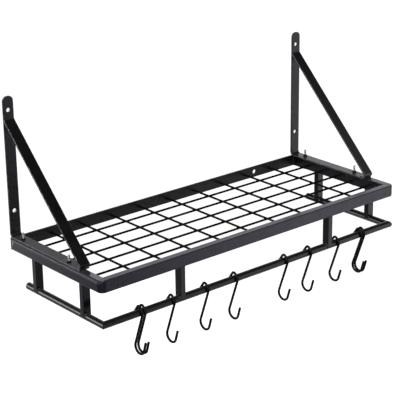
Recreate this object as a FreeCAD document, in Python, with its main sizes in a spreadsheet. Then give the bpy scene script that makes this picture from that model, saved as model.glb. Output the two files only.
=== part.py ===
import FreeCAD, Part
import math
import os
from types import SimpleNamespace

import Sketcher

# Wall mounted pot rack
# A frame of rectangular tube with a wire shelf stands out from the wall on two bent strip brackets.
# Six short posts carry a round tube below the frame, and ten wire hooks swing from that tube.
# Millimetres: +X runs along the wall to the right, -Y points out of the wall to the front, +Z is up.
# The origin lies in the wall plane, in the middle of the four wall holes of the brackets.

SIZES = [
    ("rack_width", 700, "frame along the wall, outside"),
    ("rack_depth", 265, "wall to the front of the frame"),
    ("rail_height", 22, "frame tube, upright side"),
    ("rail_width", 15, "frame tube, level side"),
    ("rail_wall", 2, "frame tube wall"),
    ("rail_corner", 1.2, "frame tube outer corner radius"),
    ("frame_corner", 10, "radius of the frame's two front corners, seen from above"),
    ("back_bar_thick", 3, "flat bar that closes the frame at the wall"),
    ("back_screw_spacing", 454, "between the two screw holes of the back bar"),
    ("back_screw_hole", 9, "screw hole of the back bar, diameter"),
    ("wire_size", 4, "shelf wire diameter"),
    ("wire_drop", 11.5, "top of the frame to the cross wires' centres"),
    ("cross_wire_margin", 69, "side rail to the first cross wire's centre"),
    ("long_wire_back", 38, "back bar to the nearest long wire's centre"),
    ("long_wire_front", 44, "front rail to the nearest long wire's centre"),
    ("post_breadth", 11, "post tube, side along the rail"),
    ("post_wall", 1.2, "post tube wall"),
    ("post_corner", 0.8, "post tube outer corner radius"),
    ("cope_gap", 0.1, "room between a post's saddle and the hook tube"),
    ("side_post_back", 69.5, "wall to the middle of the rear side post"),
    ("side_post_front", 57, "front of the frame to the middle of the forward side post"),
    ("front_post_setback", 172, "side of the frame to the middle of a front post"),
    ("tube_size", 13, "hook tube diameter"),
    ("tube_wall", 1.2, "hook tube wall"),
    ("tube_drop", 81.5, "top of the frame to the hook tube's axis"),
    ("tube_end", 38, "wall to the capped ends of the hook tube"),
    ("plug_flange", 1.5, "end plug's flange thickness"),
    ("plug_stem", 8, "end plug's length inside the tube"),
    ("plug_gap", 0.1, "room around the plug's stem"),
    ("strip_width", 21, "bracket strip width"),
    ("strip_thick", 2.5, "bracket strip thickness"),
    ("strip_bend", 6, "inner radius of the strap's bend"),
    ("strap_height", 255.5, "top of the frame to the top of the strap"),
    ("strap_corner", 9, "corner radius at the strap's top"),
    ("strap_setback", 60, "front of the frame to the front end of the strap's base"),
    ("fold_overhang", 10, "front end of the strap's base to the unrounded corner of the brace's fold"),
    ("upper_hole_drop", 24.5, "top of the strap to the upper wall hole"),
    ("lower_hole_height", 49, "top of the frame to the lower wall hole"),
    ("wall_hole", 7.5, "wall hole diameter"),
    ("brace_drop", 41, "top of the strap to the top of the brace"),
    ("brace_bend", 2.5, "inner radius of the brace's fold"),
    ("brace_foot", 20, "length of the brace's foot, from the corner of the fold"),
    ("bolt_size", 4, "bracket bolt diameter"),
    ("bolt_gap", 0.5, "bolt hole diameter over the bolt's"),
    ("bolt_tail", 10.5, "bolt end beyond the nut"),
    ("bolt_back", 30, "wall to the rear bolt"),
    ("bolt_setback", 28, "back end of the brace's foot to the forward bolt"),
    ("head_size", 8, "bolt head diameter"),
    ("head_height", 2.6, "bolt head height"),
    ("head_round", 1.2, "bolt head edge radius"),
    ("nut_flats", 7, "nut across its flats"),
    ("nut_height", 3.2, "nut height"),
    ("thread_gap", 0.2, "nut bore diameter over the bolt's"),
    ("hook_wire", 4.5, "hook wire diameter"),
    ("hook_gap", 0.3, "room between a hook and the tube"),
    ("crown_radius", 5, "bend over the tube, wire centre"),
    ("crown_room", 3.25, "top of the tube to the underside of the hook's crown"),
    ("back_leg", 13.2, "straight leg behind the tube"),
    ("shank_length", 61, "straight shank below the tube"),
    ("shank_lean", 19.9, "shank from upright, degrees"),
    ("bowl_radius", 12, "lower bend, wire centre"),
    ("tip_length", 18, "straight tip"),
    ("tip_lean", 17, "tip from upright, degrees"),
    ("hook_end_round", 0.8, "edge radius at both ends of a hook"),
    ("hook_beside_post", 21, "front post to the next hook outward"),
    ("post_hook_spacing", 74, "between the hooks on both sides of a front post"),
    ("inner_hook_spacing", 64, "from the hook inside a post to the next one inward"),
    ("outer_hook_spacing", 63, "from the hook outside a post to the next one outward"),
    ("twin_hook_spacing", 6.5, "between the two outermost hooks"),
    ("middle_hook_slide", 1.8, "how far the hooks inside the posts have slid to the right"),
    ("inner_hook_slide", 5.5, "how far the two innermost hooks have slid to the right"),
]
CROSS_WIRES = 9
LONG_WIRES = 5
SIDES = (("left", -1), ("right", 1))
SNAP = 1e-6
X_AXIS = FreeCAD.Vector(1, 0, 0)
Y_AXIS = FreeCAD.Vector(0, 1, 0)
Z_AXIS = FreeCAD.Vector(0, 0, 1)


class Size:
    """A number together with the spreadsheet expression that works it out."""

    def __init__(self, number, text):
        self.number = number
        self.text = text

    def join(self, other, sign, number):
        return Size(number, f"({self.text} {sign} {other.text})")

    def __add__(self, other):
        other = as_size(other)
        return self.join(other, "+", self.number + other.number)

    def __sub__(self, other):
        other = as_size(other)
        return self.join(other, "-", self.number - other.number)

    def __mul__(self, other):
        other = as_size(other)
        return self.join(other, "*", self.number * other.number)

    def __truediv__(self, other):
        other = as_size(other)
        return self.join(other, "/", self.number / other.number)

    def __neg__(self):
        return as_size(0) - self


def as_size(value):
    return value if isinstance(value, Size) else Size(value, str(value))


def root(size):
    return Size(math.sqrt(size.number), f"sqrt({size.text})")


# Document and spreadsheet

doc = FreeCAD.newDocument("pot_rack")
sheet = doc.addObject("Spreadsheet::Sheet", "Dims")
for row, (name, number, note) in enumerate(SIZES, start=1):
    sheet.set(f"A{row}", note)
    sheet.set(f"B{row}", str(number))
    sheet.setAlias(f"B{row}", name)
doc.recompute()
dim = SimpleNamespace()
for name, number, note in SIZES:
    setattr(dim, name, Size(float(sheet.get(name)), f"Dims.{name}"))

# Levels and places that several pieces share

half_width = dim.rack_width / 2
rail_top = -(dim.lower_hole_height + dim.strap_height - dim.upper_hole_drop) / 2
rail_bottom = rail_top - dim.rail_height
base_top = rail_top + dim.strip_thick
tube_level = rail_top - dim.tube_drop
tube_radius = dim.tube_size / 2
tube_inset = dim.rail_width / 2
tube_front = tube_inset - dim.rack_depth
strap_centre = half_width - dim.strip_width / 2
bolt_line = half_width - dim.rail_width / 2
base_reach = dim.rack_depth - dim.strap_setback
fold_reach = base_reach + dim.fold_overhang
bolt_places = (dim.bolt_back, fold_reach - dim.brace_foot - dim.bolt_setback)
bolt_hole = dim.bolt_size + dim.bolt_gap
front_post_place = half_width - dim.front_post_setback

sub_parts = []


# Helpers for sketches and features

def bind(item, prop, size):
    item.setExpression(prop, size.text)


def place(item, x, y, z, rotation=FreeCAD.Rotation()):
    item.Placement = FreeCAD.Placement(FreeCAD.Vector(), rotation)
    for axis, size in zip("xyz", (x, y, z)):
        bind(item, f"Placement.Base.{axis}", as_size(size))


def turn(axis, degrees):
    return FreeCAD.Rotation(axis, degrees)


def new_body(label):
    body = doc.addObject("PartDesign::Body", label)
    body.Label = label
    sub_parts.append(body)
    return body


def sketch_on(body, name, role):
    sketch = body.newObject("Sketcher::SketchObject", name)
    plane = next(item for item in body.Origin.OriginFeatures if item.Role == role)
    sketch.AttachmentSupport = [(plane, "")]
    sketch.MapMode = "FlatFace"
    return sketch


def drive(sketch, size, kind, *picks):
    """Add one dimension to a sketch and bind it to its size."""
    number = math.radians(size.number) if kind == "Angle" else size.number
    index = sketch.addConstraint(Sketcher.Constraint(kind, *picks, number))
    bind(sketch, f"Constraints[{index}]", size)


def pin(sketch, geometry, point, x, y):
    """Hold a sketch point at two signed sizes from the sketch's origin."""
    for kind, axis, size in (("DistanceX", -2, as_size(x)), ("DistanceY", -1, as_size(y))):
        if size.number == 0:
            sketch.addConstraint(Sketcher.Constraint("PointOnObject", geometry, point, axis))
        else:
            drive(sketch, size, kind, -1, 1, geometry, point)


def flat_point(x, y):
    return FreeCAD.Vector(as_size(x).number, as_size(y).number, 0)


def outline(sketch, corners, rounds=()):
    """Draw a closed shape, anticlockwise, through corners that are pairs of sizes.

    Each of rounds names a side by its first corner and makes it an arc, with its centre and radius.
    """
    points = [flat_point(x, y) for x, y in corners]
    ends = points[1:] + points[:1]
    sides = [Part.LineSegment(start, end) for start, end in zip(points, ends)]
    for index, centre, radius in rounds:
        middle = flat_point(*centre)
        ring = Part.Circle(middle, Z_AXIS, radius.number)
        start, end = (math.atan2(*(point - middle)[1::-1]) for point in (points[index], ends[index]))
        sides[index] = Part.ArcOfCircle(ring, start, end)
    lines = [sketch.addGeometry(side) for side in sides]
    for line, following in zip(lines, lines[1:] + lines[:1]):
        sketch.addConstraint(Sketcher.Constraint("Coincident", line, 2, following, 1))
    for line, (x, y) in zip(lines, corners):
        pin(sketch, line, 1, x, y)
    for index, centre, radius in rounds:
        drive(sketch, radius, "Radius", lines[index])


def rectangle(sketch, x_low, y_low, x_high, y_high):
    outline(sketch, [(x_low, y_low), (x_high, y_low), (x_high, y_high), (x_low, y_high)])


def circle(sketch, x, y, diameter):
    ring = Part.Circle(flat_point(x, y), Z_AXIS, diameter.number / 2)
    index = sketch.addGeometry(ring)
    pin(sketch, index, 3, x, y)
    drive(sketch, diameter, "Diameter", index)


def pad(body, sketch, length, side="One side"):
    feature = body.newObject("PartDesign::Pad", f"{sketch.Name}_pad")
    feature.Profile = sketch
    feature.SideType = side
    bind(feature, "Length", length)
    doc.recompute()


def cut_through(body, sketch):
    """Cut a sketch right through its body, both ways, and see that material went."""
    before = body.Shape.Volume
    feature = body.newObject("PartDesign::Pocket", f"{sketch.Name}_cut")
    feature.Profile = sketch
    feature.Type = "ThroughAll"
    feature.SideType = "Symmetric"
    doc.recompute()
    if body.Shape.Volume >= before:
        raise RuntimeError(f"{feature.Name} cuts nothing")


def round_edges(body, axis, radius, wanted=lambda middle: True):
    """Round the straight edges along an axis whose middle points are wanted."""
    base = body.Tip
    names = []
    for index, edge in enumerate(base.Shape.Edges, start=1):
        straight = edge.Curve.TypeId == "Part::GeomLine"
        if straight and abs(abs(edge.Curve.Direction.dot(axis)) - 1) < SNAP and wanted(edge.CenterOfMass):
            names.append(f"Edge{index}")
    feature = body.newObject("PartDesign::Fillet", f"{body.Name}_rounding")
    feature.Base = (base, names)
    bind(feature, "Radius", radius)
    doc.recompute()


def close_to(value, size):
    return abs(value - size.number) < SNAP


def group(label, members):
    """Gather equal pieces into one node."""
    node = doc.addObject("Part::Compound", label)
    node.Label = label
    node.Links = members
    sub_parts.append(node)


def cylinder(name, diameter, length):
    item = doc.addObject("Part::Cylinder", name)
    bind(item, "Radius", diameter / 2)
    bind(item, "Height", length)
    return item


def combine(kind, name, base, tool):
    item = doc.addObject(kind, name)
    item.Base = base
    item.Tool = tool
    return item


# Frame rails, mitred and rounded at the two front corners

mitre_inset = dim.frame_corner - dim.frame_corner / root(as_size(2))
bore_round = dim.frame_corner - dim.rail_wall
bore_inset = dim.frame_corner - bore_round / root(as_size(2))
bore_depth = dim.rail_width - dim.rail_wall


def rail_bore(body, corners, rounds):
    """Hollow a rail from the plan of its inside, leaving the wall above and below."""
    plan = sketch_on(body, f"{body.Name}_bore", "XY_Plane")
    outline(plan, corners, rounds)
    before = body.Shape.Volume
    feature = body.newObject("PartDesign::Pocket", f"{plan.Name}_cut")
    feature.Profile = plan
    feature.SideType = "Symmetric"
    bind(feature, "Length", dim.rail_height - dim.rail_wall * 2)
    doc.recompute()
    if body.Shape.Volume >= before:
        raise RuntimeError(f"{feature.Name} cuts nothing")


def make_front_rail():
    body = new_body("front_rail")
    plan = sketch_on(body, "front_rail_plan", "XY_Plane")
    inner = half_width - dim.rail_width
    straight = half_width - dim.frame_corner
    tip = half_width - mitre_inset
    outline(plan, [
        (-tip, mitre_inset),
        (-straight, 0),
        (straight, 0),
        (tip, mitre_inset),
        (inner, dim.rail_width),
        (-inner, dim.rail_width),
    ], [
        (0, (-straight, dim.frame_corner), dim.frame_corner),
        (2, (straight, dim.frame_corner), dim.frame_corner),
    ])
    pad(body, plan, dim.rail_height, "Symmetric")
    round_edges(body, X_AXIS, dim.rail_corner)
    bore_tip = half_width - bore_inset
    bore_inner = half_width - bore_depth
    rail_bore(body, [
        (-bore_tip, bore_inset),
        (-straight, dim.rail_wall),
        (straight, dim.rail_wall),
        (bore_tip, bore_inset),
        (bore_inner, bore_depth),
        (-bore_inner, bore_depth),
    ], [
        (0, (-straight, dim.frame_corner), bore_round),
        (2, (straight, dim.frame_corner), bore_round),
    ])
    place(body, 0, -dim.rack_depth, rail_top - dim.rail_height / 2)


def make_side_rail(side, sign):
    body = new_body(f"{side}_rail")
    plan = sketch_on(body, f"{side}_rail_plan", "XY_Plane")
    back = dim.rack_depth - dim.back_bar_thick
    outline(plan, [
        (mitre_inset, mitre_inset),
        (dim.rail_width, dim.rail_width),
        (dim.rail_width, back),
        (0, back),
        (0, dim.frame_corner),
    ], [(4, (dim.frame_corner, dim.frame_corner), dim.frame_corner)])
    pad(body, plan, dim.rail_height, "Symmetric")
    round_edges(body, Y_AXIS, dim.rail_corner)
    rail_bore(body, [
        (bore_inset, bore_inset),
        (bore_depth, bore_depth),
        (bore_depth, back),
        (dim.rail_wall, back),
        (dim.rail_wall, dim.frame_corner),
    ], [(4, (dim.frame_corner, dim.frame_corner), bore_round)])
    holes = sketch_on(body, f"{side}_rail_holes", "XY_Plane")
    for distance in bolt_places:
        circle(holes, dim.rail_width / 2, dim.rack_depth - distance, bolt_hole)
    cut_through(body, holes)
    rotation = turn(Y_AXIS, 90 + 90 * sign)
    place(body, half_width * sign, -dim.rack_depth, rail_top - dim.rail_height / 2, rotation)


def make_back_rail():
    body = new_body("back_rail")
    face = sketch_on(body, "back_rail_face", "XZ_Plane")
    rectangle(face, -half_width, -dim.rail_height / 2, half_width, dim.rail_height / 2)
    for side, sign in SIDES:
        circle(face, dim.back_screw_spacing / 2 * sign, 0, dim.back_screw_hole)
    pad(body, face, dim.back_bar_thick)
    place(body, 0, 0, rail_top - dim.rail_height / 2)


# Shelf wires

def make_cross_wires():
    """Wires from the back bar to the front rail, evenly spaced between the margins."""
    wires = []
    first = half_width - dim.rail_width - dim.cross_wire_margin
    length = dim.rack_depth - dim.rail_width - dim.back_bar_thick
    for count in range(CROSS_WIRES):
        wire = cylinder(f"cross_wire_{count + 1}", dim.wire_size, length)
        across = first * (2 * count / (CROSS_WIRES - 1) - 1)
        place(wire, across, -dim.back_bar_thick, rail_top - dim.wire_drop, turn(X_AXIS, 90))
        wires.append(wire)
    group("cross_wires", wires)


def make_long_wires():
    """Wires from side rail to side rail, welded under the cross wires."""
    wires = []
    start = dim.rail_width - half_width
    nearest = -(dim.back_bar_thick + dim.long_wire_back)
    farthest = dim.rail_width + dim.long_wire_front - dim.rack_depth
    for count in range(LONG_WIRES):
        wire = cylinder(f"long_wire_{count + 1}", dim.wire_size, dim.rack_width - dim.rail_width * 2)
        out = nearest + (farthest - nearest) * (count / (LONG_WIRES - 1))
        place(wire, start, out, rail_top - dim.wire_drop - dim.wire_size, turn(Y_AXIS, 90))
        wires.append(wire)
    group("long_wires", wires)


# Posts between the frame and the hook tube

def make_post(label, x, y, rotation):
    """A short tube with a saddle at its lower end, drawn with the hook tube along its own X."""
    body = new_body(label)
    breadth = dim.post_breadth / 2
    depth = dim.rail_width / 2
    plan = sketch_on(body, f"{label}_plan", "XY_Plane")
    rectangle(plan, -breadth, -depth, breadth, depth)
    pad(body, plan, dim.tube_drop - dim.rail_height)
    round_edges(body, Z_AXIS, dim.post_corner)
    bore = sketch_on(body, f"{label}_bore", "XY_Plane")
    wall = dim.post_wall
    rectangle(bore, wall - breadth, wall - depth, breadth - wall, depth - wall)
    cut_through(body, bore)
    saddle = sketch_on(body, f"{label}_saddle", "YZ_Plane")
    circle(saddle, 0, 0, dim.tube_size + dim.cope_gap * 2)
    cut_through(body, saddle)
    place(body, x, y, tube_level, rotation)


def make_posts():
    across = half_width - tube_inset
    for side, sign in SIDES:
        make_post(f"{side}_post_back", across * sign, -dim.side_post_back, turn(Z_AXIS, 90))
        make_post(f"{side}_post_front", across * sign, dim.side_post_front - dim.rack_depth, turn(Z_AXIS, 90))
        make_post(f"front_post_{side}", front_post_place * sign, tube_front, FreeCAD.Rotation())


# Hook tube in three mitred lengths, with plugs in its rear ends

def ring(sketch):
    circle(sketch, 0, 0, dim.tube_size)
    circle(sketch, 0, 0, dim.tube_size - dim.tube_wall * 2)


def make_front_tube():
    body = new_body("front_hook_tube")
    section = sketch_on(body, "front_tube_section", "YZ_Plane")
    ring(section)
    corner = half_width - tube_inset
    pad(body, section, (corner + tube_radius) * 2, "Symmetric")
    mitre = sketch_on(body, "front_tube_mitre", "XY_Plane")
    for side, sign in SIDES:
        outline(mitre, [
            ((corner + dim.tube_size) * sign, -dim.tube_size),
            ((corner - dim.tube_size) * sign, dim.tube_size),
            ((corner + dim.tube_size) * sign, dim.tube_size),
        ])
    cut_through(body, mitre)
    place(body, 0, tube_front, tube_level)


def make_side_tube(side, sign):
    """A side length, drawn from its rear end forward to the corner."""
    body = new_body(f"{side}_hook_tube")
    section = sketch_on(body, f"{side}_tube_section", "XZ_Plane")
    ring(section)
    rear = dim.tube_end + dim.plug_flange
    length = dim.rack_depth - tube_inset - rear
    pad(body, section, length + tube_radius)
    mitre = sketch_on(body, f"{side}_tube_mitre", "XY_Plane")
    outline(mitre, [
        (-dim.tube_size, -length - dim.tube_size),
        (dim.tube_size, dim.tube_size - length),
        (dim.tube_size, -length - dim.tube_size),
    ])
    cut_through(body, mitre)
    place(body, (half_width - tube_inset) * sign, -rear, tube_level, turn(Y_AXIS, 90 + 90 * sign))


def make_end_plugs():
    plugs = []
    for side, sign in SIDES:
        flange = cylinder(f"{side}_plug_flange", dim.tube_size, dim.plug_flange)
        bore = dim.tube_size - dim.tube_wall * 2
        stem = cylinder(f"{side}_plug_stem", bore - dim.plug_gap * 2, dim.plug_flange + dim.plug_stem)
        plug = combine("Part::Fuse", f"{side}_plug", flange, stem)
        place(plug, (half_width - tube_inset) * sign, -dim.tube_end, tube_level, turn(X_AXIS, 90))
        plugs.append(plug)
    group("tube_end_plugs", plugs)


# Brackets of bent strip

def make_strap(side, sign):
    """Upright leg on the wall and level base on the side rail, bent from one strip."""
    body = new_body(f"{side}_strap")
    profile = sketch_on(body, f"{side}_strap_profile", "YZ_Plane")
    outline(profile, [
        (0, 0),
        (0, dim.strap_height),
        (-dim.strip_thick, dim.strap_height),
        (-dim.strip_thick, dim.strip_thick),
        (-base_reach, dim.strip_thick),
        (-base_reach, 0),
    ])
    pad(body, profile, dim.strip_width, "Symmetric")
    outer_bend = dim.strip_bend + dim.strip_thick
    round_edges(body, X_AXIS, outer_bend, lambda middle: middle.Length < SNAP)
    round_edges(
        body, X_AXIS, dim.strip_bend,
        lambda middle: close_to(middle.y, -dim.strip_thick) and close_to(middle.z, dim.strip_thick),
    )
    round_edges(body, Y_AXIS, dim.strap_corner, lambda middle: close_to(middle.z, dim.strap_height))
    wall_holes = sketch_on(body, f"{side}_strap_wall_holes", "XZ_Plane")
    for height in (dim.lower_hole_height, dim.strap_height - dim.upper_hole_drop):
        circle(wall_holes, 0, height, dim.wall_hole)
    cut_through(body, wall_holes)
    bolt_holes = sketch_on(body, f"{side}_strap_bolt_holes", "XY_Plane")
    for distance in bolt_places:
        circle(bolt_holes, (bolt_line - strap_centre) * sign, -distance, bolt_hole)
    cut_through(body, bolt_holes)
    place(body, strap_centre * sign, 0, rail_top)


def make_brace(side, sign):
    """Slanting strip from the strap to the base, folded under into a short foot."""
    body = new_body(f"{side}_brace")
    thick = dim.strip_thick
    rise = dim.strap_height - dim.brace_drop - thick
    run = fold_reach - thick
    slant = root(rise * rise + run * run)
    upright_thick = thick * slant / run
    inner_reach = thick + (rise - upright_thick - thick) * run / rise
    foot_end = fold_reach - dim.brace_foot
    profile = sketch_on(body, f"{side}_brace_profile", "YZ_Plane")
    outline(profile, [
        (-fold_reach, 0),
        (-foot_end, 0),
        (-foot_end, thick),
        (-inner_reach, thick),
        (-thick, rise - upright_thick),
        (-thick, rise),
    ])
    pad(body, profile, dim.strip_width, "Symmetric")
    round_edges(body, X_AXIS, dim.brace_bend + thick, lambda middle: close_to(middle.y, -fold_reach))
    round_edges(body, X_AXIS, dim.brace_bend, lambda middle: close_to(middle.y, -inner_reach))
    place(body, strap_centre * sign, 0, base_top)


# Bolts from below through rail and strap, with a nut on each

def fasteners():
    """Yield a name and a place for each of the four bolts."""
    for side, sign in SIDES:
        for end, distance in zip(("rear", "forward"), bolt_places):
            yield f"{side}_{end}", bolt_line * sign, -distance


def make_bolts():
    bolts = []
    grip = dim.rail_height + dim.strip_thick + dim.nut_height + dim.bolt_tail
    for name, x, y in fasteners():
        shank = cylinder(f"{name}_shank", dim.bolt_size, dim.head_height + grip)
        head = cylinder(f"{name}_head", dim.head_size, dim.head_height)
        doc.recompute()
        lower = next(
            index for index, edge in enumerate(head.Shape.Edges, start=1)
            if close_to(edge.BoundBox.ZMax, as_size(0))
        )
        rounded = doc.addObject("Part::Fillet", f"{name}_round_head")
        rounded.Base = head
        rounded.Edges = [(lower, dim.head_round.number, dim.head_round.number)]
        bolt = combine("Part::Fuse", f"{name}_bolt", rounded, shank)
        place(bolt, x, y, rail_bottom - dim.head_height)
        bolts.append(bolt)
    group("bracket_bolts", bolts)


def make_nuts():
    nuts = []
    for name, x, y in fasteners():
        hexagon = doc.addObject("Part::Prism", f"{name}_hexagon")
        hexagon.Polygon = 6
        bind(hexagon, "Circumradius", dim.nut_flats / root(as_size(3)))
        bind(hexagon, "Height", dim.nut_height)
        bore = cylinder(f"{name}_thread", dim.bolt_size + dim.thread_gap, dim.nut_height)
        nut = combine("Part::Cut", f"{name}_nut", hexagon, bore)
        place(nut, x, y, base_top)
        nuts.append(nut)
    group("bracket_nuts", nuts)


# Hooks of bent wire

def bent(centre, radius, start, end):
    """An arc in the hook's plane, drawn anticlockwise between two angles in radians."""
    ring = Part.Circle(flat_point(*centre), Z_AXIS, radius)
    return Part.ArcOfCircle(ring, start, end)


def draw_hook_path():
    """Draw the wire's centre line about the tube's axis: sketch x points to the wall, y up."""
    wrap = tube_radius + dim.hook_gap + dim.hook_wire / 2
    crown_level = tube_radius + dim.crown_room + dim.hook_wire / 2 - dim.crown_radius
    slope = math.asin((wrap.number - dim.crown_radius.number) / crown_level.number)
    lean = math.radians(dim.shank_lean.number)
    tip_lean = math.radians(dim.tip_lean.number)
    crown = dim.crown_radius.number
    bowl = dim.bowl_radius.number
    down = FreeCAD.Vector(math.sin(lean), -math.cos(lean), 0)
    crown_back = flat_point(crown * math.cos(slope), crown_level.number + crown * math.sin(slope))
    crown_front = flat_point(-crown_back.x, crown_back.y)
    leg_end = crown_back + FreeCAD.Vector(math.sin(slope), -math.cos(slope), 0) * dim.back_leg.number
    wrap_top = flat_point(-wrap.number * math.cos(slope), wrap.number * math.sin(slope))
    wrap_foot = flat_point(-wrap.number * math.cos(lean), -wrap.number * math.sin(lean))
    shank_foot = wrap_foot + down * dim.shank_length.number
    bowl_centre = shank_foot - flat_point(math.cos(lean), math.sin(lean)) * bowl
    tip_foot = bowl_centre - flat_point(math.cos(tip_lean), math.sin(tip_lean)) * bowl
    tip_end = tip_foot + flat_point(-math.sin(tip_lean), math.cos(tip_lean)) * dim.tip_length.number
    path = doc.addObject("Sketcher::SketchObject", "hook_path")
    leg = path.addGeometry(Part.LineSegment(leg_end, crown_back))
    over = path.addGeometry(bent((0, crown_level), crown, slope, math.pi - slope))
    front = path.addGeometry(Part.LineSegment(crown_front, wrap_top))
    around = path.addGeometry(bent((0, 0), wrap.number, math.pi - slope, math.pi + lean))
    shank = path.addGeometry(Part.LineSegment(wrap_foot, shank_foot))
    under = path.addGeometry(
        bent((bowl_centre.x, bowl_centre.y), bowl, math.pi + tip_lean, 2 * math.pi + lean)
    )
    tip = path.addGeometry(Part.LineSegment(tip_foot, tip_end))
    joints = [(leg, 2, over, 1), (over, 2, front, 1), (front, 2, around, 1)]
    joints += [(around, 2, shank, 1), (shank, 2, under, 2), (under, 1, tip, 1)]
    for joint in joints:
        path.addConstraint(Sketcher.Constraint("Tangent", *joint))
    path.addConstraint(Sketcher.Constraint("Coincident", around, 3, -1, 1))
    path.addConstraint(Sketcher.Constraint("Horizontal", over, 1, over, 2))
    pin(path, over, 3, 0, crown_level)
    drive(path, dim.crown_radius, "Radius", over)
    drive(path, wrap, "Radius", around)
    drive(path, dim.bowl_radius, "Radius", under)
    drive(path, dim.back_leg, "Distance", leg)
    drive(path, dim.shank_length, "Distance", shank)
    drive(path, dim.tip_length, "Distance", tip)
    drive(path, dim.shank_lean - 90, "Angle", shank)
    drive(path, dim.tip_lean + 90, "Angle", tip)
    path.Placement = FreeCAD.Placement(FreeCAD.Vector(), FreeCAD.Rotation(FreeCAD.Vector(1, 1, 1), 120))
    doc.recompute()
    return path


def make_hook_form():
    """Sweep the wire along its path and round both of its ends."""
    path = draw_hook_path()
    section = doc.addObject("Part::Circle", "hook_section")
    bind(section, "Radius", dim.hook_wire / 2)
    first = path.Shape.Edges[0]
    start = first.Vertexes[0].Point
    along = first.Vertexes[1].Point - start
    section.Placement = FreeCAD.Placement(start, FreeCAD.Rotation(Z_AXIS, along))
    sweep = doc.addObject("Part::Sweep", "hook_sweep")
    sweep.Sections = [section]
    sweep.Spine = (path, [f"Edge{index}" for index in range(1, len(path.Shape.Edges) + 1)])
    sweep.Solid = True
    sweep.Frenet = True
    doc.recompute()
    wire_area = math.pi * (dim.hook_wire.number / 2) ** 2
    if abs(sweep.Shape.Volume / (wire_area * path.Shape.Length) - 1) > 0.001:
        raise RuntimeError("the hook's volume doesn't match its wire")
    ends = [start, path.Shape.Edges[-1].Vertexes[1].Point]
    form = doc.addObject("Part::Fillet", "hook_form")
    form.Base = sweep
    form.Edges = [
        (index, dim.hook_end_round.number, dim.hook_end_round.number)
        for index, edge in enumerate(sweep.Shape.Edges, start=1)
        if edge.Closed and min((edge.CenterOfMass - end).Length for end in ends) < dim.hook_gap.number
    ]
    return form


def make_hooks():
    """Ten equal hooks on the front tube, five on each side of the middle, the inner ones slid a little."""
    form = make_hook_form()
    beside = front_post_place + dim.hook_beside_post
    inside = beside - dim.post_hook_spacing
    outer = beside + dim.outer_hook_spacing
    places = [outer + dim.twin_hook_spacing, outer, beside, inside, inside - dim.inner_hook_spacing]
    still = as_size(0)
    slides = [still, still, still, dim.middle_hook_slide, dim.inner_hook_slide]
    left = [slide - place_out for slide, place_out in zip(slides, places)]
    right = [slide + place_out for slide, place_out in zip(slides, places)]
    across = left + right[::-1]
    for count, x in enumerate(across, start=1):
        hook = doc.addObject("Part::Compound", f"hook_{count}")
        hook.Label = f"hook_{count}"
        hook.Links = [form]
        place(hook, x, tube_front, tube_level)
        sub_parts.append(hook)


def check_and_write():
    """Stop on any failed object or shape, then write one file for each sub-part."""
    doc.recompute()
    for item in doc.Objects:
        if "Invalid" in item.State or "Error" in item.State:
            raise RuntimeError(f"{item.Name} failed: {item.State}")
    for item in sub_parts:
        if item.Shape.isNull() or not item.Shape.isValid() or not item.Shape.Solids:
            raise RuntimeError(f"{item.Label} has no valid solid")
    os.makedirs("parts", exist_ok=True)
    for item in sub_parts:
        item.Shape.exportStep(f"parts/{item.Label}.step")


make_front_rail()
for side, sign in SIDES:
    make_side_rail(side, sign)
make_back_rail()
make_cross_wires()
make_long_wires()
make_posts()
make_front_tube()
for side, sign in SIDES:
    make_side_tube(side, sign)
make_end_plugs()
for side, sign in SIDES:
    make_strap(side, sign)
    make_brace(side, sign)
make_bolts()
make_nuts()
make_hooks()
check_and_write()
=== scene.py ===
"""Wall mounted pot rack: coats, welds, fasteners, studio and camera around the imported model."""

import math

import bmesh
import bpy
import numpy as np
from mathutils import Matrix, Vector


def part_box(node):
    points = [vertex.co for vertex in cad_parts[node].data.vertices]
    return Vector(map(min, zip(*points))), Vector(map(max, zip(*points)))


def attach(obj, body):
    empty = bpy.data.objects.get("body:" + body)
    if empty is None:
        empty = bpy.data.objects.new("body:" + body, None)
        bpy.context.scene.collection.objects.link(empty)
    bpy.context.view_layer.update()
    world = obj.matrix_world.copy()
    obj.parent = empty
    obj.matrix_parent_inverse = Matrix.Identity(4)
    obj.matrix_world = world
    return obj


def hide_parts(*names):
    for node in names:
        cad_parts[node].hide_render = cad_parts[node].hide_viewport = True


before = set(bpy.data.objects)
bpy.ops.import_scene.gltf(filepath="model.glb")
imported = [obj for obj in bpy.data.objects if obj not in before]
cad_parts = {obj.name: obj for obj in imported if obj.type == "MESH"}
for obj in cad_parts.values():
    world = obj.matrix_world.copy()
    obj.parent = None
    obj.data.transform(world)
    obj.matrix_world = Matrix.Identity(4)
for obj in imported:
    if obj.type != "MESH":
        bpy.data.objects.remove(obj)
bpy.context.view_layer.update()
MM = 0.001
X_AXIS = np.array([1.0, 0.0, 0.0])
Y_AXIS = np.array([0.0, 1.0, 0.0])
Z_AXIS = np.array([0.0, 0.0, 1.0])

# Sign of X on the left and on the right

SIDES = (-1, 1)


def span(node):
    """Lowest and highest corner of a CAD node, in millimetres."""
    low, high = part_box(node)
    return np.array(low) / MM, np.array(high) / MM


# Sizes read from the model, in millimetres

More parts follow.
